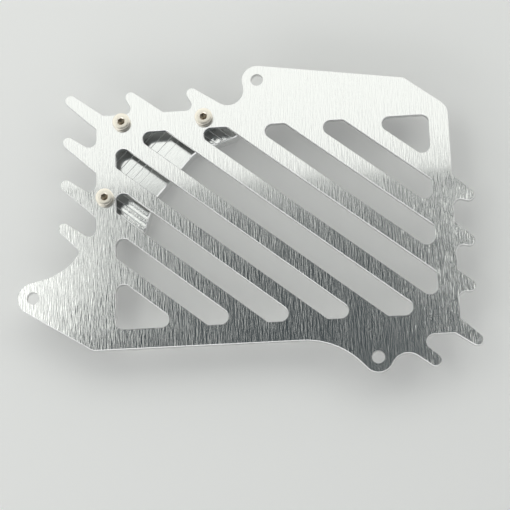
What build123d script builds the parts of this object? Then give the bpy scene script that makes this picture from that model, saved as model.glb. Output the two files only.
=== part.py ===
# Radiator guard for a motorcycle: a slotted plate with spiked edges on a milled corner bracket.
# Millimetres. The plate lies in the XY plane with its front face up and the bracket is under it.
# The origin is on the axis of the upper mounting hole, in the plate's back face.
import math
import os
from collections import namedtuple

from build123d import *

# Plate stock
PLATE_THICKNESS = 3.0
EDGE_BREAK = 0.25

# Frame, the rectangle round the slots, placed from the upper mounting hole
FRAME_WIDTH = 184.7
FRAME_HEIGHT = 126.9
FRAME_LEFT_OF_HOLE = 85.9
FRAME_BELOW_HOLE = 14.5
BORDER = 10.4

# Diagonal slots and bars, counted from the lower left corner of the frame
SLOT_ANGLE = 38.9
CORNER_TO_FIRST_BAR = 21.8
BAR_WIDTH = 7.95
SLOT_WIDTH = 11.15
WIDE_SLOT_WIDTH = 12.35
LOWER_SLOTS = 3
WIDE_SLOTS = 2
UPPER_SLOTS = 2

# Rounded corners of the windows: those with an inner angle above this one are the blunt corners
BLUNT_CORNER_ANGLE = 100.0
SHARP_CORNER_R = 4.0
BLUNT_CORNER_R = 2.0
CORNER_SHARE = 0.98

# Mounting lugs: the upper one carries the origin, and the others are placed from the frame
HOLE_DIA = 6.6
LUG_R = 8.2
LEFT_LUG_OUT = 32.9
LEFT_LUG_DROP = 97.8
LOWER_LUG_R = 7.7
LOWER_LUG_IN = 41.7
LOWER_LUG_DROP = 10.4
NECK_STRAIGHT = 1.0

# Spikes on the left edge, counted from the top
LEFT_SPIKES = 4
SPIKE_TIP_R = 3.0
SPIKE_REACH = 13.85
SPIKE_RISE = 9.55
SPIKE_STEP = 23.6
SPIKE_DRIFT = 1.05
LEFT_ROOT_DROP = 7.4
LEFT_ROOT_STEP = 24.4
LEFT_NOTCH_R = 3.65
LEFT_NOTCH_DROP = 6.2
LAST_HOLLOW_R = 3.1
LAST_HOLLOW_IN = 4.65
LAST_HOLLOW_DROP = 13.2

# Hollow between the last left spike and the left lug
LEFT_SWEEP_R = 30.0
LEFT_SWEEP_STRAIGHT = 8.0
LAST_HOLLOW_STRAIGHT = 1.3

# Spikes on the top edge, counted from the left
TOP_SPIKES = 2
TOP_SPIKE_FIRST = 18.6
TOP_SPIKE_STEP = 32.6
TOP_SPIKE_RISE = 9.35
TOP_SPIKE_ROOT = 17.3
TOP_HOLLOW_R = 2.9
TOP_HOLLOW_BACK = 3.2
CORNER_SPIKE_ROOT = 4.0

# Hollow between the last top spike and the upper lug
TOP_NECK_R = 7.9
TOP_NECK_STRAIGHT = 16.0

# Teeth on the right edge, counted from the bottom
RIGHT_TEETH = 3
TOOTH_TIP_R = 3.1
TOOTH_REACH = 5.6
TOOTH_DRIFT = 1.1
TOOTH_RISE = 24.1
TOOTH_STEP = 23.8
TOOTH_ROOT_RISE = 7.6
TOOTH_ROOT_STEP = 25.1
RIGHT_NOTCH_R = 3.4
RIGHT_NOTCH_RISE = 17.7
RIGHT_NOTCH_STEP = 24.25

# Long tooth and hook at the lower right corner
LONG_TOOTH_TIP_R = 2.95
LONG_TOOTH_REACH = 7.8
LONG_TOOTH_DROP = 3.9
LONG_TOOTH_ROOT = 3.1
HOOK_TIP_R = 3.05
HOOK_IN = 13.5
HOOK_DROP = 13.2
HOOK_NOTCH_R = 3.9

# Lower edge: hollows on each side of the lower lug, and the blunt corner by the left lug
LOWER_SWEEP_R = 40.0
LOWER_SWEEP_STRAIGHT = 3.8
LOWER_NECK_R = 8.5
HOOK_STRAIGHT = 8.3
LOWER_CORNER_R = 5.0

# Upper right corner, cut off parallel to the slots, and the sloping top edge
SHOULDER_R = 9.0
SHOULDER_DROP = 11.0
PEAK_R = 3.0
PEAK_IN = 23.2
PEAK_RISE = 7.9

# Screws that hold the bracket, all at the same distance from the frame's outer edges
SCREW_DIA = 5.0
SCREW_HEAD_DIA = 9.3
SCREW_HEAD_HEIGHT = 2.7
SCREW_RIM_HEIGHT = 2.35
SCREW_FLAT_DIA = 6.8
SOCKET_ACROSS_FLATS = 3.4
SOCKET_DEPTH = 1.6
SCREW_HOLE_CLEARANCE = 0.2
THREAD_CLEARANCE = 0.1
SCREW_TIP_CHAMFER = 0.8
SCREW_INSET = 4.8
CORNER_SCREW_IN = 13.8
TOP_SCREW_SPACING = 43.7
LEFT_SCREW_DOWN = 45.9

# Corner bracket: a block with a face milled back so that a boss is left at each screw.
# Each arm ends behind a bar, found by the count of bars below it.
BOSS_HEIGHT = 6.0
BOSS_DIA = 8.6
BLOCK_THICKNESS = 8.0
BRACKET_INSET = 0.3
BRACKET_CORNER_R = 3.0
BRACKET_HOLLOW_R = 12.0
BRACKET_EDGE_BREAK = 0.6
LEFT_ARM_WIDTH = 29.2
LEFT_ARM_FROM_TOP = 45.6
LEFT_ARM_FLARE_ANGLE = 16.5
TOP_ARM_WIDTH = 20.8
TOP_ARM_FROM_LEFT = 51.1
TOP_ARM_FLARE_ANGLE = 18.8
LEFT_ARM_BARS = 1
TOP_ARM_BARS = 5

# Places worked out from the sizes
FRAME_LEFT = -FRAME_LEFT_OF_HOLE
FRAME_RIGHT = FRAME_LEFT + FRAME_WIDTH
FRAME_TOP = -FRAME_BELOW_HOLE
FRAME_BOTTOM = FRAME_TOP - FRAME_HEIGHT
SLOT_WIDTHS = [SLOT_WIDTH] * LOWER_SLOTS + [WIDE_SLOT_WIDTH] * WIDE_SLOTS + [SLOT_WIDTH] * UPPER_SLOTS
SCREWS = [
    (FRAME_LEFT + CORNER_SCREW_IN, FRAME_TOP - SCREW_INSET),
    (FRAME_LEFT + CORNER_SCREW_IN + TOP_SCREW_SPACING, FRAME_TOP - SCREW_INSET),
    (FRAME_LEFT + SCREW_INSET, FRAME_TOP - LEFT_SCREW_DOWN),
]
SCREW_LENGTH = PLATE_THICKNESS + BOSS_HEIGHT + BLOCK_THICKNESS

# A corner of an outline: r above 0 rounds it, r below 0 makes it a hollow, and 0 leaves it sharp
Round = namedtuple("Round", "x y r")
UPPER_LUG = Round(0, 0, LUG_R)
LEFT_LUG = Round(FRAME_LEFT - LEFT_LUG_OUT, FRAME_TOP - LEFT_LUG_DROP, LUG_R)
LOWER_LUG = Round(FRAME_RIGHT - LOWER_LUG_IN, FRAME_BOTTOM - LOWER_LUG_DROP, LOWER_LUG_R)


def tangent(a, b):
    """Heading and ends of the line that passes both circles at their own radius on its left."""
    reach = math.dist((a.x, a.y), (b.x, b.y))
    heading = math.atan2(b.y - a.y, b.x - a.x) - math.asin((b.r - a.r) / reach)
    left = Vector(-math.sin(heading), math.cos(heading))
    return heading, Vector(a.x, a.y) - left * a.r, Vector(b.x, b.y) - left * b.r


def string_round(rounds):
    """Face inside a string pulled anticlockwise round a loop of circles, each on its own side."""
    runs = [tangent(a, b) for a, b in zip(rounds, rounds[1:] + rounds[:1])]
    edges = [Line(start, end) for _, start, end in runs]
    for corner, before, after in zip(rounds, runs[-1:] + runs[:-1], runs):
        if corner.r != 0:
            turn = (after[0] - before[0] + math.pi) % (2 * math.pi) - math.pi
            half_way = before[0] + turn / 2
            outward = Vector(math.sin(half_way), -math.cos(half_way))
            middle = Vector(corner.x, corner.y) + outward * corner.r
            edges.append(ThreePointArc(before[2], middle, after[1]))
    return make_face(edges)


def hollow_between(before, after, radius, straights, side=1):
    """Hollow that has a straight of the given length on the way from one round, and to the next.

    Its centre is right of the line through the two rounds, or left of it where side is -1.
    """
    base = Vector(after.x - before.x, after.y - before.y)
    reach_before = math.hypot(before.r + radius, straights[0])
    reach_after = math.hypot(after.r + radius, straights[1])
    along = (base.length ** 2 + reach_before ** 2 - reach_after ** 2) / (2 * base.length)
    aside = side * math.sqrt(reach_before ** 2 - along ** 2)
    ahead = base.normalized()
    return Round(before.x + ahead.X * along + ahead.Y * aside,
                 before.y + ahead.Y * along - ahead.X * aside, -radius)


def top_edge_rounds():
    """From the upper lug leftwards along the top spikes to the root of the corner spike."""
    rounds = [UPPER_LUG]
    for spike in reversed(range(TOP_SPIKES)):
        tip_x = FRAME_LEFT + TOP_SPIKE_FIRST + TOP_SPIKE_STEP * spike
        tip = Round(tip_x, FRAME_TOP + TOP_SPIKE_RISE, SPIKE_TIP_R)
        if spike == TOP_SPIKES - 1:
            straights = (NECK_STRAIGHT, TOP_NECK_STRAIGHT)
            rounds.append(hollow_between(UPPER_LUG, tip, TOP_NECK_R, straights, side=-1))
        else:
            rounds.append(Round(tip_x + TOP_SPIKE_ROOT, FRAME_TOP, 0))
        rounds.append(tip)
        rounds.append(Round(tip_x - TOP_HOLLOW_BACK, FRAME_TOP + TOP_HOLLOW_R, -TOP_HOLLOW_R))
    rounds.append(Round(FRAME_LEFT + CORNER_SPIKE_ROOT, FRAME_TOP, 0))
    return rounds


def left_edge_rounds():
    """Down the left spikes, round the left lug and back to the frame's lower left corner."""
    rounds = []
    for spike in range(LEFT_SPIKES):
        tip_x = FRAME_LEFT - SPIKE_REACH - SPIKE_DRIFT * spike
        tip_y = FRAME_TOP + SPIKE_RISE - SPIKE_STEP * spike
        rounds.append(Round(tip_x, tip_y, SPIKE_TIP_R))
        if spike < LEFT_SPIKES - 1:
            root_y = FRAME_TOP - LEFT_ROOT_DROP - LEFT_ROOT_STEP * spike
            rounds.append(Round(FRAME_LEFT, root_y, 0))
            rounds.append(Round(FRAME_LEFT - LEFT_NOTCH_R, root_y - LEFT_NOTCH_DROP, -LEFT_NOTCH_R))
    last_hollow = Round(tip_x + LAST_HOLLOW_IN, tip_y - LAST_HOLLOW_DROP, -LAST_HOLLOW_R)
    straights = (LAST_HOLLOW_STRAIGHT, LEFT_SWEEP_STRAIGHT)
    return rounds + [
        last_hollow,
        hollow_between(last_hollow, LEFT_LUG, LEFT_SWEEP_R, straights),
        LEFT_LUG,
        Round(FRAME_LEFT, FRAME_BOTTOM + LOWER_CORNER_R, LOWER_CORNER_R),
    ]


def lower_edge_rounds():
    """Along the lower edge, round the lower lug and the hook to the tip of the long tooth."""
    sweep_y = FRAME_BOTTOM - LOWER_SWEEP_R
    reach = math.hypot(LOWER_LUG_R + LOWER_SWEEP_R, LOWER_SWEEP_STRAIGHT)
    sweep_x = LOWER_LUG.x - math.sqrt(reach ** 2 - (LOWER_LUG.y - sweep_y) ** 2)
    hook_tip = Round(FRAME_RIGHT - HOOK_IN, FRAME_BOTTOM - HOOK_DROP, HOOK_TIP_R)
    return [
        Round(sweep_x, sweep_y, -LOWER_SWEEP_R),
        LOWER_LUG,
        hollow_between(LOWER_LUG, hook_tip, LOWER_NECK_R, (NECK_STRAIGHT, HOOK_STRAIGHT)),
        hook_tip,
        Round(hook_tip.x, FRAME_BOTTOM - HOOK_NOTCH_R, -HOOK_NOTCH_R),
        Round(FRAME_RIGHT - LONG_TOOTH_ROOT, FRAME_BOTTOM, 0),
        Round(FRAME_RIGHT + LONG_TOOTH_REACH, FRAME_BOTTOM - LONG_TOOTH_DROP, LONG_TOOTH_TIP_R),
    ]


def right_edge_rounds():
    """Up the right teeth and over the cut-off corner to the start of the sloping top edge."""
    rounds = []
    for tooth in range(RIGHT_TEETH):
        rounds.append(Round(FRAME_RIGHT, FRAME_BOTTOM + TOOTH_ROOT_RISE + TOOTH_ROOT_STEP * tooth, 0))
        rounds.append(Round(FRAME_RIGHT + RIGHT_NOTCH_R,
                            FRAME_BOTTOM + RIGHT_NOTCH_RISE + RIGHT_NOTCH_STEP * tooth, -RIGHT_NOTCH_R))
        rounds.append(Round(FRAME_RIGHT + TOOTH_REACH + TOOTH_DRIFT * tooth,
                            FRAME_BOTTOM + TOOTH_RISE + TOOTH_STEP * tooth, TOOTH_TIP_R))
    rounds.append(Round(FRAME_RIGHT, FRAME_BOTTOM + TOOTH_ROOT_RISE + TOOTH_ROOT_STEP * RIGHT_TEETH, 0))
    rounds.append(Round(FRAME_RIGHT - SHOULDER_R, FRAME_TOP - SHOULDER_DROP, SHOULDER_R))
    rounds.append(Round(FRAME_RIGHT - PEAK_IN, FRAME_TOP + PEAK_RISE, PEAK_R))
    return rounds


def bar_edges():
    """Distances of each bar's two edges from the frame's lower left inner corner, across the slots."""
    edges = []
    start = CORNER_TO_FIRST_BAR
    for width in SLOT_WIDTHS + [0]:
        edges.append((start, start + BAR_WIDTH))
        start += BAR_WIDTH + width
    return edges


def across_slots(distance):
    """Line that runs along the slots at this distance from the frame's lower left inner corner."""
    slope = math.radians(SLOT_ANGLE)
    corner = Vector(FRAME_LEFT + BORDER, FRAME_BOTTOM + BORDER)
    return Axis(corner + Vector(math.sin(slope), math.cos(slope)) * distance,
                (math.cos(slope), -math.sin(slope)))


def beyond(axis):
    """Large face on the upper right side of a line along the slots."""
    size = FRAME_WIDTH + FRAME_HEIGHT
    half_plane = Rectangle(2 * size, size, align=(Align.CENTER, Align.MIN))
    return Pos(*axis.position) * Rot(0, 0, -SLOT_ANGLE) * half_plane


def round_corners(window):
    """Window with each corner rounded: widely where it is sharp or square, tightly where it is blunt.

    Where two roundings together are longer than the side between them, both shrink to fit it.
    """
    sides = window.face().outer_wire().order_edges()
    radii = []
    cut_lengths = []
    for before, after in zip(sides[-1:] + sides[:-1], sides):
        turn = (before % 1).get_angle(after % 0)
        radii.append(BLUNT_CORNER_R if 180 - turn > BLUNT_CORNER_ANGLE else SHARP_CORNER_R)
        cut_lengths.append(radii[-1] * math.tan(math.radians(turn / 2)))
    room = []
    for side, here, there in zip(sides, cut_lengths, cut_lengths[1:] + cut_lengths[:1]):
        room.append(min(1, CORNER_SHARE * side.length / (here + there)))
    fitted = [radius * min(pair) for radius, pair in zip(radii, zip(room[-1:] + room[:-1], room))]
    return make_face(FilletPolyline(*[side @ 0 for side in sides], radius=fitted, close=True))


def windows():
    """The frame's opening between the bars, one face for each slot and corner triangle."""
    opening = Pos(FRAME_LEFT + BORDER, FRAME_BOTTOM + BORDER) * Rectangle(
        FRAME_WIDTH - 2 * BORDER, FRAME_HEIGHT - 2 * BORDER, align=(Align.MIN, Align.MIN))
    for start, end in bar_edges():
        yield round_corners(opening - beyond(across_slots(start)))
        opening = opening & beyond(across_slots(end))
    yield round_corners(opening)


def guard_plate():
    """Flat sheet with the spiked outline and slots, its front edges broken, then drilled."""
    sheet = string_round(top_edge_rounds() + left_edge_rounds() + lower_edge_rounds() + right_edge_rounds())
    for window in windows():
        sheet -= window
    plate = extrude(sheet, PLATE_THICKNESS)
    plate = chamfer(plate.edges().group_by(Axis.Z)[-1], EDGE_BREAK)
    for lug in (UPPER_LUG, LEFT_LUG, LOWER_LUG):
        plate -= Pos(lug.x, lug.y) * extrude(Circle(HOLE_DIA / 2), PLATE_THICKNESS)
    for x, y in SCREWS:
        plate -= Pos(x, y) * extrude(Circle(SCREW_DIA / 2 + SCREW_HOLE_CLEARANCE), PLATE_THICKNESS)
    return plate


def bracket_outline():
    """Angled block behind the frame's corner, with its two ends hidden behind the middle of a bar."""
    bars = bar_edges()
    left_end = across_slots(sum(bars[LEFT_ARM_BARS]) / 2)
    top_end = across_slots(sum(bars[TOP_ARM_BARS]) / 2)
    outer_x = FRAME_LEFT + BRACKET_INSET
    outer_y = FRAME_TOP - BRACKET_INSET
    left_elbow = Vector(FRAME_LEFT + LEFT_ARM_WIDTH, FRAME_TOP - LEFT_ARM_FROM_TOP)
    top_elbow = Vector(FRAME_LEFT + TOP_ARM_FROM_LEFT, FRAME_TOP - TOP_ARM_WIDTH)
    left_side = Axis((outer_x, outer_y), (0, -1))
    top_side = Axis((outer_x, outer_y), (1, 0))
    left_inner = Axis(left_elbow, Vector(0, -1).rotate(Axis.Z, -LEFT_ARM_FLARE_ANGLE))
    top_inner = Axis(top_elbow, Vector(1, 0).rotate(Axis.Z, TOP_ARM_FLARE_ANGLE))
    points = [
        Vector(outer_x, outer_y),
        left_side.intersect(left_end),
        left_inner.intersect(left_end),
        left_elbow,
        top_elbow,
        top_inner.intersect(top_end),
        top_side.intersect(top_end),
    ]
    hollow = (left_elbow, top_elbow)
    radii = [BRACKET_HOLLOW_R if point in hollow else BRACKET_CORNER_R for point in points]
    return make_face(FilletPolyline(*points, radius=radii, close=True))


def corner_bracket():
    """Block milled back from the plate, with a boss and a tapped hole under each screw."""
    block = Pos(0, 0, -BOSS_HEIGHT) * extrude(bracket_outline(), -BLOCK_THICKNESS)
    block = chamfer(block.edges().group_by(Axis.Z)[-1], BRACKET_EDGE_BREAK)
    block = chamfer(block.edges().group_by(Axis.Z)[0], BRACKET_EDGE_BREAK)
    root = BOSS_HEIGHT + BRACKET_EDGE_BREAK
    for x, y in SCREWS:
        block += Pos(x, y, -root) * extrude(Circle(BOSS_DIA / 2), root)
    tapped_r = SCREW_DIA / 2 + THREAD_CLEARANCE
    for x, y in SCREWS:
        block -= Pos(x, y) * extrude(Circle(tapped_r), -BOSS_HEIGHT - BLOCK_THICKNESS)
    return block


def bracket_screw():
    """Flat-topped socket screw on the Z axis, the underside of its head at height zero."""
    head_r = SCREW_HEAD_DIA / 2
    shank_r = SCREW_DIA / 2
    outline = Polyline(
        (0, SCREW_HEAD_HEIGHT),
        (0, -SCREW_LENGTH),
        (shank_r - SCREW_TIP_CHAMFER, -SCREW_LENGTH),
        (shank_r, SCREW_TIP_CHAMFER - SCREW_LENGTH),
        (shank_r, 0),
        (head_r, 0),
        (head_r, SCREW_RIM_HEIGHT),
        (SCREW_FLAT_DIA / 2, SCREW_HEAD_HEIGHT),
        close=True,
    )
    screw = revolve(Plane.XZ * make_face(outline), Axis.Z)
    socket = RegularPolygon(SOCKET_ACROSS_FLATS / 2, 6, major_radius=False)
    return screw - Pos(0, 0, SCREW_HEAD_HEIGHT) * extrude(socket, -SOCKET_DEPTH)


def bracket_screws():
    """The three equal screws, seated on the plate's front face."""
    screw = bracket_screw()
    return Compound(children=[Pos(x, y, PLATE_THICKNESS) * screw for x, y in SCREWS])


os.makedirs("parts", exist_ok=True)
for make in (guard_plate, corner_bracket, bracket_screws):
    export_step(make(), os.path.join("parts", make.__name__ + ".step"))
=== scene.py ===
import math

import bpy
import numpy as np
from mathutils import Euler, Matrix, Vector


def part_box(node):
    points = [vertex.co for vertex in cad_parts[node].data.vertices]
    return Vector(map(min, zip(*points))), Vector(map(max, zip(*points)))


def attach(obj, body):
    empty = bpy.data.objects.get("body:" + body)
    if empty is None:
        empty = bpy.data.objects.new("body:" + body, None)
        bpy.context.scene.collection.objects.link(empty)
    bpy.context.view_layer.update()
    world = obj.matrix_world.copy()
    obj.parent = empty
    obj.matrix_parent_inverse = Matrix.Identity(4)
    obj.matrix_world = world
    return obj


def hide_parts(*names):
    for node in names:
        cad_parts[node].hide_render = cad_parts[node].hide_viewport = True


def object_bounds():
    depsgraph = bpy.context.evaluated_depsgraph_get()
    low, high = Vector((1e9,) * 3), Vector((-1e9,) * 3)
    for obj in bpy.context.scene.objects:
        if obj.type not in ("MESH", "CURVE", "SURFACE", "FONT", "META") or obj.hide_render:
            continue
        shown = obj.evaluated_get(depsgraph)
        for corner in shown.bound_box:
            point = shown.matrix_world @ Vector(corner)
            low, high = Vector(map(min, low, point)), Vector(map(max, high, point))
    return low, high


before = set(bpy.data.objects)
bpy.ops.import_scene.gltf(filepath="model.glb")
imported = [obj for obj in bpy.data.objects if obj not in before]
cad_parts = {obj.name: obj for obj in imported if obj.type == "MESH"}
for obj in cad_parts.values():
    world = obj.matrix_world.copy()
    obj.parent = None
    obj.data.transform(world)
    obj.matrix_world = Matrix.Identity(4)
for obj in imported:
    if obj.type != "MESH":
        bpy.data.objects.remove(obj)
cad_low, cad_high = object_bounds()

MM = 0.001

# Camera: the point of the plate at the picture's middle, and the turns in degrees from straight above
PICTURE_SIDE = 510
FOCUS_IN_PIXELS = 1650
SENSOR_WIDTH = 36
CAMERA_AIM = Vector((-3.34, -95.63, 3.0)) * MM
CAMERA_DISTANCE = 842.3 * MM
CAMERA_TURNS = (15.73, 6.364, -1.462)

# Level panels over the plate: left, right, front and back edges in mm, and radiance.
# The panels called edge step down towards the dark middle, so that its border is soft.
PANEL_HEIGHT = 1003 * MM
PANEL_COLOUR = (0.985, 1.0, 0.955)
LEVEL_PANELS = {
    "back_panel": ((-1200, 1200, 281, 1500), 1.00),
    "back_edge_1": ((-262, 100, 240, 281), 0.20),
    "back_edge_2": ((-222, 100, 190, 240), 0.05),
    "left_panel": ((-900, -422, 75, 277), 1.70),
    "left_front": ((-900, -422, -700, 75), 0.95),
    "left_edge_1": ((-422, -372, 82, 277), 1.45),
    "left_edge_2": ((-372, -337, 92, 277), 1.05),
    "left_edge_3": ((-337, -302, 112, 277), 0.74),
    "left_edge_4": ((-302, -262, 145, 255), 0.44),
    "left_edge_5": ((-262, -222, 165, 240), 0.18),
    "right_edge_1": ((100, 143, 130, 260), 0.30),
    "right_panel": ((143, 181, 130, 260), 1.25),
    "right_edge_2": ((181, 240, 130, 260), 0.42),
    "right_front": ((141, 185, -200, 130), 1.05),
}

# Low panel in front, which brightens the cut edges and the floor
FRONT_PANEL_PLACE = Vector((-720, -1080, 420)) * MM
FRONT_PANEL_SIZE = (1500 * MM, 700 * MM)
FRONT_PANEL_RADIANCE = 1.15
FRONT_PANEL_COLOUR = (1.0, 1.0, 1.0)

# Room: pale at the horizon, a bright ring above it and dark overhead, and the rise where each gives way
HORIZON_COLOUR = (0.91, 0.92, 0.93)
RING_COLOUR = (0.98, 0.99, 0.98)
ZENITH_COLOUR = (0.052, 0.063, 0.068)
RING_START = (0.20, 0.32)
RING_END = (0.34, 0.82)

# Floor: the lift is what it adds where it is seen or mirrored
FLOOR_COLOUR = (0.91, 0.91, 0.90)
FLOOR_ROUGHNESS = 0.9
FLOOR_LIFT = 0.06
FLOOR_SIDE = 8.0

# Noise: the span that most of its values fall in, how many finer layers it has and how strong they are
NOISE_SPAN = (0.3, 0.7)
FINER_LAYERS = 2.0
FINER_STRENGTH = 0.55

# Upward part of a face's direction from which it counts as level, not as a broken edge
LEVEL_RISE = (0.8, 0.95)

# Brush strokes on the plate's front: width and length in mm, start and lean.
# A stroke fades over a share of its length at each end, and a column shifts by up to so many strokes.
STROKES = (
    (0.47, 3.8, 0.37, 0.065),
    (0.67, 5.0, 31.0, 0.058),
    (0.95, 6.6, 57.6, 0.040),
)
STROKE_END = 0.3
COLUMN_SHIFT = 50.0

# Finish of the front: light spreads across the strokes, with a little rise for the upright walls' sake
ACROSS_STROKES = {"X": 1.0, "Z": 0.2}
BRUSHED_ANISOTROPY = 0.78
STROKE_SPAN = (-0.45, 0.45)
FRONT_ROUGHNESS = (0.06, 0.27)
FRONT_CLOUD = (9 * MM, 22 * MM, None)
FRONT_CLOUD_START = 3.1
FRONT_CLOUD_ROUGHNESS = (-0.012, 0.012)
FRONT_TONE = (0.90, 0.90, 0.895)

# Walls and back of the plate
WALL_MARKS = (0.35 * MM, 0.35 * MM, 6 * MM)
WALL_MARKS_START = 1.7
BACK_ROUGHNESS = (0.32, 0.48)
WALL_TONE = (0.78, 0.78, 0.775)
BACK_TONE = (0.58, 0.585, 0.58)

# Milled face of the bracket: distances are across the slots from the frame's lower left corner.
# Cutter passes cross the slots in the middle zone and run along them outside it.
SLOT_SLOPE = 38.9
FRAME_CORNER = (-75.5, -131.0)
MIDDLE_ZONE = (64.0 * MM, 103.0 * MM)
ZONE_BORDER = 0.1 * MM
PASS_SLOPE = 47.0
PASS_WIDTH = 4.4 * MM
PASS_START = 17.0 * MM
OUTER_PASS_WIDTH = 3.64 * MM
OUTER_PASS_START = 52.4 * MM
MILLED_ROUGHNESS = (0.08, 0.16)
MILLED_TONES = ((0.93, 0.935, 0.93), (0.88, 0.885, 0.88))
MILLED_GRAIN = (5 * MM, 0.2 * MM, 1 * MM)

# Lines between passes: a border in shares of half a line, and where they clear up along the slots
HALF_LINE = 0.2 * MM
LINE_BORDER = (0.6, 1.3)
LINE_FADE = (36.0 * MM, 45.0 * MM)
FAINT_LINE = 0.06
LINE_ROUGHNESS = 0.55

# Relief of the milled face: shares of the height, for coves and clouds before and behind the middle zone
MOTTLE = (0.9 * MM, 0.9 * MM, 1 * MM)
MOTTLE_START = 5.5
CLOUD = (3.2 * MM, 3.2 * MM, 1 * MM)
CLOUD_START = 2.5
RELIEF = 0.04 * MM
GRAIN_SHARE = 0.04
COVE_SHARES = (0.8, 0.2)
CLOUD_SHARES = (0.0, 9.0)

# Screws: two at the top and one at the left, with the sizes of the guard's own screws and angles in degrees
HEAD_R = 4.65 * MM
HEAD_HEIGHT = 2.7 * MM
SHOULDER_R = 4.2 * MM
SHOULDER_DROP = 0.1 * MM
FLAT_R = 3.4 * MM
FLAT_EDGE_DROP = 0.02 * MM
SHANK_R = 2.5 * MM
TOP_SCREW_SPACING = 43.7 * MM
SOCKET_HALF_WIDTH = 1.7 * MM
SOCKET_DEPTH = 2.0 * MM
SOCKET_LEAD = 0.18 * MM
SOCKET_FLOOR_SHARE = 0.97
DRILL_POINT = 1.0 * MM
RIM_ROUND = 0.45 * MM
RIM_FIRST_ANGLE = 10
RIM_ROWS = 7
EDGE_BREAK = 0.15 * MM
NECK_LENGTH = 1.6 * MM
THREAD_PITCH = 0.8 * MM
THREAD_DEPTH = 0.42 * MM
TIP_CHAMFER = 0.8 * MM
AROUND = 72
ROWS_PER_THREAD = 8
POLE_R = 0.02 * MM
SHARP_ANGLE = 28

# Finish of the screws, with painted shade inside the socket: lengths are along the profile, from the
# socket's floor outwards
TURNING_MARKS = (0.6, 0.14 * MM, None)
STEEL_ROUGHNESS = (0.26, 0.40)
STEEL_TONES = ((0.96, 0.90, 0.80), (0.88, 0.82, 0.72))
# Painted shade: the colour that darkens the inside of each socket, and where along the profile it fades out
SOCKET_SHADE_TONE = (0.36, 0.31, 0.24)
SOCKET_SHADE_FADE = (2.4 * MM, 2.7 * MM)


def add(tree, kind, inputs=None, **settings):
    """One shader node: settings are its own properties, inputs are values or sockets."""
    node = tree.nodes.new(kind)
    for name, value in settings.items():
        setattr(node, name, value)
    for key, value in (inputs or {}).items():
        if isinstance(value, bpy.types.NodeSocket):
            tree.links.new(value, node.inputs[key])
        else:
            node.inputs[key].default_value = value
    return node


def math_node(tree, operation, first, second=0.0):
    """Socket with the result of one sum on one or two values."""
    return add(tree, "ShaderNodeMath", {0: first, 1: second}, operation=operation).outputs[0]


def parts_of(tree, vector):
    """Sockets with the X, Y and Z of a vector."""
    return add(tree, "ShaderNodeSeparateXYZ", {0: vector}).outputs


def between(tree, value, low, high, out_low=0.0, out_high=1.0):
    """Socket that goes smoothly from out_low to out_high as the value goes from low to high."""
    inputs = {"Value": value, "From Min": low, "From Max": high, "To Min": out_low, "To Max": out_high}
    return add(tree, "ShaderNodeMapRange", inputs, interpolation_type="SMOOTHSTEP").outputs[0]


def mixed(tree, share, first, second):
    """Socket with a number between two numbers."""
    return add(tree, "ShaderNodeMix", {0: share, 2: first, 3: second}).outputs[0]


def mixed_colour(tree, share, first, second):
    """Socket with a colour between two colours, which are values or sockets."""
    first, second = [(*tone, 1) if isinstance(tone, tuple) else tone for tone in (first, second)]
    inputs = {0: share, 6: first, 7: second}
    return add(tree, "ShaderNodeMix", inputs, data_type="RGBA").outputs[2]


def new_material(name):
    """Material with one shader, and its tree and shader."""
    material = bpy.data.materials.new(name)
    material.use_nodes = True
    tree = material.node_tree
    return material, tree, tree.nodes["Principled BSDF"]


def new_metal(name):
    """Metal with one shader, and its tree, shader and object coordinates."""
    material, tree, shader = new_material(name)
    shader.inputs["Metallic"].default_value = 1.0
    place = add(tree, "ShaderNodeTexCoord").outputs["Object"]
    return material, tree, shader, place


def rise_of_face(tree):
    """Socket with the upward part of a face's direction: 1 facing up, 0 upright, -1 facing down."""
    normal = add(tree, "ShaderNodeNewGeometry").outputs["True Normal"]
    return parts_of(tree, normal)["Z"]


def facing_up(tree):
    """Socket that is 1 on faces turned up or down and 0 on broken edges and upright walls."""
    return between(tree, math_node(tree, "ABSOLUTE", rise_of_face(tree)), *LEVEL_RISE)


def facing_front(tree):
    """Socket that is 1 on the front face and 0 on its broken edge, the walls and the back."""
    return between(tree, rise_of_face(tree), *LEVEL_RISE)


def stretched_noise(tree, place, size, start=0.0, turn=0.0):
    """Noise socket with spots of this size along X, Y and Z; None means no change that way."""
    turning = {"Vector": place, "Rotation": (0, 0, math.radians(turn))}
    turned = add(tree, "ShaderNodeMapping", turning).outputs[0]
    scale = [0 if side is None else 1 / side for side in size]
    spreading = {"Vector": turned, "Scale": scale, "Location": (start, start, start)}
    spread = add(tree, "ShaderNodeMapping", spreading).outputs[0]
    inputs = {"Vector": spread, "Scale": 1.0, "Detail": FINER_LAYERS, "Roughness": FINER_STRENGTH}
    return add(tree, "ShaderNodeTexNoise", inputs).outputs["Fac"]


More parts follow.
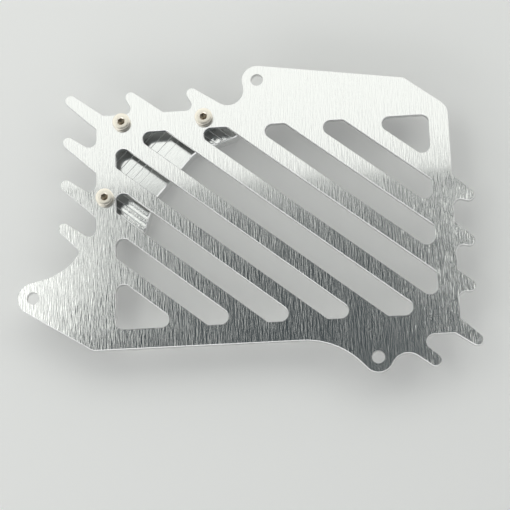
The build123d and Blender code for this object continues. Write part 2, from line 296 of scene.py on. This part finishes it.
def brush_strokes(tree, place, width, length, start):
    """Two sockets from -0.5 to 0.5 for strokes along Y: how rough they are, and how they lean.

    The sheet is cut into columns, each shifted by chance, and a column into strokes that fade at
    both ends. A stroke is a shallow groove: the cosine of half a turn across it makes its two
    sides opposite, and a random number less a half gives its strength."""
    parts = parts_of(tree, place)
    across_it = math_node(tree, "ADD", math_node(tree, "DIVIDE", parts["X"], width), start)
    column = math_node(tree, "FLOOR", across_it)
    chance = add(tree, "ShaderNodeTexWhiteNoise", {"W": column}, noise_dimensions="1D")
    shift = math_node(tree, "MULTIPLY", chance.outputs["Value"], COLUMN_SHIFT)
    along_it = math_node(tree, "ADD", math_node(tree, "DIVIDE", parts["Y"], length), shift)
    row = math_node(tree, "FLOOR", along_it)
    share = math_node(tree, "FRACT", along_it)
    first_end = between(tree, share, 0.0, STROKE_END)
    last_end = between(tree, share, 1.0 - STROKE_END, 1.0, 1.0, 0.0)
    ends = math_node(tree, "MULTIPLY", first_end, last_end)
    half_turn = math_node(tree, "MULTIPLY", math_node(tree, "FRACT", across_it), math.pi)
    sides = math_node(tree, "MULTIPLY", ends, math_node(tree, "COSINE", half_turn))
    seat = add(tree, "ShaderNodeCombineXYZ", {"X": column, "Y": row, "Z": start}).outputs[0]
    chances = add(tree, "ShaderNodeTexWhiteNoise", {"Vector": seat}, noise_dimensions="3D")
    numbers = parts_of(tree, chances.outputs["Color"])
    strengths = [math_node(tree, "SUBTRACT", numbers[name], 0.5) for name in "XY"]
    return [math_node(tree, "MULTIPLY", sides, strength) for strength in strengths]


def across(tree, place, slope, origin=(0.0, 0.0)):
    """Socket with the distance across lines of this slope in degrees from an origin in mm."""
    angle = math.radians(slope)
    offset = (math.sin(angle) * origin[0] - math.cos(angle) * origin[1]) * MM
    turned = add(tree, "ShaderNodeMapping", {"Vector": place, "Rotation": (0, 0, -angle)}).outputs[0]
    return math_node(tree, "ADD", parts_of(tree, turned)["Y"], offset)


def counted(tree, distance, width, start):
    """Socket with how many widths a distance lies beyond the start."""
    return math_node(tree, "DIVIDE", math_node(tree, "SUBTRACT", distance, start), width)


def line_every(tree, distance, width, start):
    """Socket that is 1 on thin lines this width apart, one of them at the start."""
    count = counted(tree, distance, width, start)
    share = math_node(tree, "FRACT", math_node(tree, "ADD", count, 0.5))
    off_line = math_node(tree, "ABSOLUTE", math_node(tree, "SUBTRACT", share, 0.5))
    inner, outer = [side * HALF_LINE / width for side in LINE_BORDER]
    return between(tree, off_line, inner, outer, 1.0, 0.0)


def brushed_aluminium():
    """Sheet brushed along Y: rougher and smoother strokes, which spread light across them.

    The normal leans sideways by the sum of all strokes' leans. The back is left matt, and the
    cut walls have upright marks."""
    material, tree, shader, place = new_metal("brushed_aluminium")
    shader.inputs["Anisotropic"].default_value = BRUSHED_ANISOTROPY
    tangent = add(tree, "ShaderNodeCombineXYZ", ACROSS_STROKES).outputs[0]
    tree.links.new(tangent, shader.inputs["Tangent"])
    strokes = 0.0
    lean = 0.0
    for width, length, start, tilt in STROKES:
        stroke, stroke_lean = brush_strokes(tree, place, width * MM, length * MM, start)
        strokes = math_node(tree, "ADD", stroke, strokes)
        lean = math_node(tree, "ADD", math_node(tree, "MULTIPLY", stroke_lean, tilt), lean)

    front = facing_front(tree)
    cloud = stretched_noise(tree, place, FRONT_CLOUD, FRONT_CLOUD_START)
    front_rough = math_node(tree, "ADD", between(tree, strokes, *STROKE_SPAN, *FRONT_ROUGHNESS),
                            between(tree, cloud, *NOISE_SPAN, *FRONT_CLOUD_ROUGHNESS))
    marks = stretched_noise(tree, place, WALL_MARKS, WALL_MARKS_START)
    back_rough = between(tree, marks, *NOISE_SPAN, *BACK_ROUGHNESS)
    tree.links.new(mixed(tree, front, back_rough, front_rough), shader.inputs["Roughness"])
    back_tone = mixed_colour(tree, facing_up(tree), WALL_TONE, BACK_TONE)
    tree.links.new(mixed_colour(tree, front, back_tone, FRONT_TONE), shader.inputs["Base Color"])

    sideways = add(tree, "ShaderNodeCombineXYZ", {"X": lean}).outputs[0]
    normal = add(tree, "ShaderNodeNewGeometry").outputs["Normal"]
    leaning = add(tree, "ShaderNodeVectorMath", {0: normal, 1: sideways}, operation="ADD").outputs[0]
    unit_normal = add(tree, "ShaderNodeVectorMath", {0: leaning}, operation="NORMALIZE").outputs[0]
    tree.links.new(unit_normal, shader.inputs["Normal"])
    return material


def milled_aluminium():
    """Bright milled block: cutter passes side by side with a fine line where two passes meet.

    Outside the middle zone the passes are shallow coves, a cosine of the distance across the
    slots, with fine mottling and, on the far side, broad clouds."""
    material, tree, shader, place = new_metal("milled_aluminium")
    from_corner = across(tree, place, -SLOT_SLOPE, FRAME_CORNER)
    zone_start, zone_end = MIDDLE_ZONE
    behind_start = between(tree, from_corner, zone_start - ZONE_BORDER, zone_start)
    before_end = between(tree, from_corner, zone_end, zone_end + ZONE_BORDER, 1.0, 0.0)
    inside = math_node(tree, "MULTIPLY", behind_start, before_end)

    along = across(tree, place, 90 - SLOT_SLOPE, FRAME_CORNER)
    clear = between(tree, along, *LINE_FADE, FAINT_LINE, 1.0)
    middle_lines = line_every(tree, across(tree, place, PASS_SLOPE), PASS_WIDTH, PASS_START)
    middle_lines = math_node(tree, "MULTIPLY", clear, middle_lines)
    outer_lines = line_every(tree, from_corner, OUTER_PASS_WIDTH, OUTER_PASS_START)
    lines = mixed(tree, inside, outer_lines, middle_lines)
    lines = math_node(tree, "MULTIPLY", lines, facing_up(tree))

    middle_grain = stretched_noise(tree, place, MILLED_GRAIN, turn=-PASS_SLOPE)
    outer_grain = stretched_noise(tree, place, MILLED_GRAIN, turn=SLOT_SLOPE)
    grain = mixed(tree, inside, outer_grain, middle_grain)
    ground = between(tree, grain, *NOISE_SPAN, *MILLED_ROUGHNESS)
    tree.links.new(mixed(tree, lines, ground, LINE_ROUGHNESS), shader.inputs["Roughness"])
    tree.links.new(mixed_colour(tree, grain, *MILLED_TONES), shader.inputs["Base Color"])

    far = between(tree, from_corner, *MIDDLE_ZONE)
    passes = counted(tree, from_corner, OUTER_PASS_WIDTH, OUTER_PASS_START)
    cove = math_node(tree, "COSINE", math_node(tree, "MULTIPLY", passes, 2 * math.pi))
    cove = math_node(tree, "MULTIPLY", cove, mixed(tree, far, *COVE_SHARES))
    mottle = stretched_noise(tree, place, MOTTLE, MOTTLE_START)
    cloud = stretched_noise(tree, place, CLOUD, CLOUD_START)
    cloud = math_node(tree, "MULTIPLY", cloud, mixed(tree, far, *CLOUD_SHARES))
    outer_height = math_node(tree, "ADD", cove, math_node(tree, "ADD", mottle, cloud))
    outer_height = mixed(tree, inside, outer_height, 0.0)
    height = math_node(tree, "ADD", math_node(tree, "MULTIPLY", grain, GRAIN_SHARE), outer_height)
    bump = add(tree, "ShaderNodeBump", {"Height": height, "Strength": 1.0, "Distance": RELIEF})
    tree.links.new(bump.outputs[0], shader.inputs["Normal"])
    return material


def stainless_steel():
    """Warm satin steel with turning marks round each screw, spaced along its profile, and the socket's
    inside painted darker as shade.
    """
    material, tree, shader, _ = new_metal("stainless_steel")
    along = add(tree, "ShaderNodeUVMap", uv_map="turning").outputs["UV"]
    marks = stretched_noise(tree, along, TURNING_MARKS)
    tree.links.new(between(tree, marks, *NOISE_SPAN, *STEEL_ROUGHNESS), shader.inputs["Roughness"])
    steel = mixed_colour(tree, marks, *STEEL_TONES)
    # Painted shade: the base colour darkens inside the socket, from its floor up to the fade
    painted_socket_shade = between(tree, parts_of(tree, along)["Y"], *SOCKET_SHADE_FADE, 1.0, 0.0)
    tree.links.new(mixed_colour(tree, painted_socket_shade, steel, SOCKET_SHADE_TONE), shader.inputs["Base Color"])
    return material


def pale_floor():
    """Plain matt grey-white, a little paler where it is seen or mirrored."""
    material, tree, shader = new_material("pale_floor")
    shader.inputs["Base Color"].default_value = (*FLOOR_COLOUR, 1)
    shader.inputs["Roughness"].default_value = FLOOR_ROUGHNESS
    shader.inputs["Emission Color"].default_value = (*FLOOR_COLOUR, 1)
    rays = add(tree, "ShaderNodeLightPath").outputs
    mirrored = math_node(tree, "MAXIMUM", rays["Is Glossy Ray"], rays["Is Transmission Ray"])
    seen = math_node(tree, "MAXIMUM", rays["Is Camera Ray"], mirrored)
    lift = math_node(tree, "MULTIPLY", seen, FLOOR_LIFT)
    tree.links.new(lift, shader.inputs["Emission Strength"])
    return material


def screw_profile(angle, length):
    """Radius and height of one screw at each angle, row by row from the socket's floor to the tip.

    The socket's radius is its half width over the cosine of the angle from the nearest flat's
    middle, with a corner towards +Y. A 45 degree cone leads into it, so its edge dips at the
    flats. The head's rim follows a quarter circle. The thread's radius rises and falls once a
    pitch, with the height shifted by the share of a turn. Height 0 is the seat."""
    sixth = math.pi / 3
    from_flat = (angle + sixth / 2) % sixth - sixth / 2
    hexagon = SOCKET_HALF_WIDTH / np.cos(from_flat)
    lead_r = SOCKET_HALF_WIDTH / math.cos(sixth / 2) + SOCKET_LEAD
    floor = HEAD_HEIGHT - SOCKET_DEPTH
    rim_z = HEAD_HEIGHT - SHOULDER_DROP - RIM_ROUND
    turn = np.linspace(math.radians(RIM_FIRST_ANGLE), math.pi / 2, RIM_ROWS)
    head = [
        (POLE_R, floor - DRILL_POINT),
        (SOCKET_FLOOR_SHARE * hexagon, floor),
        (hexagon, floor + EDGE_BREAK),
        (hexagon, HEAD_HEIGHT - (lead_r - hexagon)),
        (lead_r, HEAD_HEIGHT),
        (FLAT_R - EDGE_BREAK, HEAD_HEIGHT),
        (FLAT_R + EDGE_BREAK, HEAD_HEIGHT - FLAT_EDGE_DROP),
        *zip(SHOULDER_R + RIM_ROUND * np.sin(turn), rim_z + RIM_ROUND * np.cos(turn)),
        (HEAD_R, EDGE_BREAK),
        (HEAD_R - EDGE_BREAK, 0.0),
        (SHANK_R + EDGE_BREAK, 0.0),
        (SHANK_R, -EDGE_BREAK),
    ]
    down = np.arange(NECK_LENGTH, length, THREAD_PITCH / ROWS_PER_THREAD)[:, None]
    share = (down / THREAD_PITCH + angle / (2 * math.pi)) % 1
    run_in = np.clip((down - NECK_LENGTH) / THREAD_PITCH, 0, 1)
    groove = THREAD_DEPTH * (1 - np.abs(2 * share - 1)) * run_in
    tip = np.clip(length - down - TIP_CHAMFER, -TIP_CHAMFER, 0) + SHANK_R
    thread = np.minimum(SHANK_R - groove, tip)
    end = [(SHANK_R - TIP_CHAMFER, -length), (POLE_R, -length)]
    all_round = np.ones_like(angle)
    head_r, head_z = [[value * all_round for value in values] for values in zip(*head)]
    end_r, end_z = [[value * all_round for value in values] for values in zip(*end)]
    radius = np.vstack([head_r, thread, end_r])
    height = np.vstack([head_z, -down * all_round, end_z])
    return radius, height


def make_screws(material):
    """The three screws as one piece: the profile turned about each axis and closed at both poles."""
    low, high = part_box("bracket_screws")
    seat = high.z - HEAD_HEIGHT
    top_y = high.y - HEAD_R
    right_x = high.x - HEAD_R
    axes = np.array([
        (right_x - TOP_SCREW_SPACING, top_y, seat),
        (right_x, top_y, seat),
        (low.x + HEAD_R, low.y + HEAD_R, seat),
    ])
    angle = np.arange(AROUND) * 2 * math.pi / AROUND
    radius, height = screw_profile(angle, seat - low.z)
    one_screw = np.stack([radius * np.cos(angle), radius * np.sin(angle), height], axis=-1)
    points = axes[:, None, None, :] + one_screw
    screws, rows, _, _ = points.shape
    index = np.arange(screws * rows * AROUND).reshape(screws, rows, AROUND)
    after = np.roll(index, -1, axis=2)
    faces = np.stack([index[:, :-1], index[:, 1:], after[:, 1:], after[:, :-1]], axis=-1)
    ends = index[:, 0].tolist() + index[:, -1, ::-1].tolist()
    mesh = bpy.data.meshes.new("socket_screws")
    mesh.from_pydata(points.reshape(-1, 3).tolist(), [], faces.reshape(-1, 4).tolist() + ends)
    mesh.materials.append(material)
    mesh.polygons.foreach_set("use_smooth", np.ones(len(mesh.polygons), bool))
    mesh.set_sharp_from_angle(angle=math.radians(SHARP_ANGLE))

    # The map for the turning marks: across it the turn's cosine, and up it the profile's length
    step = np.hypot(np.diff(radius, axis=0), np.diff(height, axis=0)).mean(axis=1)
    length = np.concatenate([[0], np.cumsum(step)])
    turning = np.stack(np.broadcast_arrays(np.cos(angle), length[:, None]), axis=-1)
    corner = np.zeros(len(mesh.loops), np.int32)
    mesh.loops.foreach_get("vertex_index", corner)
    at_corners = np.tile(turning.reshape(-1, 2), (screws, 1))[corner]
    mesh.uv_layers.new(name="turning").data.foreach_set("uv", at_corners.ravel())
    mesh.update()
    piece = bpy.data.objects.new("socket_screws", mesh)
    bpy.context.scene.collection.objects.link(piece)
    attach(piece, "root")
    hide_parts("bracket_screws")


def finish_node(node, material):
    """The CAD node keeps its shape and shows this material."""
    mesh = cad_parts[node].data
    mesh.materials.clear()
    mesh.materials.append(material)


def make_floor():
    """Square sheet level with the lowest point of the guard."""
    half = FLOOR_SIDE / 2
    corners = [(x * half, y * half, cad_low.z) for x, y in ((-1, -1), (1, -1), (1, 1), (-1, 1))]
    mesh = bpy.data.meshes.new("floor")
    mesh.from_pydata(corners, [], [(0, 1, 2, 3)])
    mesh.materials.append(pale_floor())
    floor = bpy.data.objects.new("floor", mesh)
    bpy.context.scene.collection.objects.link(floor)


def make_camera():
    """Camera that sees the plate as the picture does, with no shift."""
    data = bpy.data.cameras.new("camera")
    data.sensor_width = SENSOR_WIDTH
    data.lens = SENSOR_WIDTH * FOCUS_IN_PIXELS / PICTURE_SIDE
    camera = bpy.data.objects.new("camera", data)
    turn = Euler([math.radians(angle) for angle in CAMERA_TURNS]).to_matrix()
    camera.location = CAMERA_AIM + turn @ Vector((0, 0, CAMERA_DISTANCE))
    camera.rotation_euler = turn.to_euler()
    bpy.context.scene.collection.objects.link(camera)
    bpy.context.scene.camera = camera


def make_panel(name, size, radiance, colour):
    """Rectangular light, whose power in watts is pi times its area times its radiance."""
    data = bpy.data.lights.new(name, "AREA")
    data.shape = "RECTANGLE"
    data.size, data.size_y = size
    data.energy = radiance * math.pi * size[0] * size[1]
    data.color = colour
    panel = bpy.data.objects.new(name, data)
    panel.visible_camera = False
    bpy.context.scene.collection.objects.link(panel)
    return panel


def make_lights():
    """Level panels over the plate, with stepped edges, and one low panel turned to it."""
    for name, (edges, radiance) in LEVEL_PANELS.items():
        left, right, front, back = [edge * MM for edge in edges]
        panel = make_panel(name, (right - left, back - front), radiance, PANEL_COLOUR)
        panel.location = ((left + right) / 2, (front + back) / 2, PANEL_HEIGHT)
    panel = make_panel("front_panel", FRONT_PANEL_SIZE, FRONT_PANEL_RADIANCE, FRONT_PANEL_COLOUR)
    panel.location = FRONT_PANEL_PLACE
    panel.rotation_euler = (CAMERA_AIM - FRONT_PANEL_PLACE).to_track_quat("-Z", "Y").to_euler()


def make_room():
    """Light from all round: pale at the horizon, brightest in a ring above it and dark overhead."""
    world = bpy.data.worlds.new("room")
    world.use_nodes = True
    tree = world.node_tree
    direction = add(tree, "ShaderNodeTexCoord").outputs["Generated"]
    rise = parts_of(tree, direction)["Z"]
    lower = mixed_colour(tree, between(tree, rise, *RING_START), HORIZON_COLOUR, RING_COLOUR)
    colour = mixed_colour(tree, between(tree, rise, *RING_END), lower, ZENITH_COLOUR)
    tree.links.new(colour, tree.nodes["Background"].inputs["Color"])
    bpy.context.scene.world = world


finish_node("guard_plate", brushed_aluminium())
finish_node("corner_bracket", milled_aluminium())
make_screws(stainless_steel())
make_floor()
make_camera()
make_lights()
make_room()
bpy.context.scene.view_settings.view_transform = "Standard"
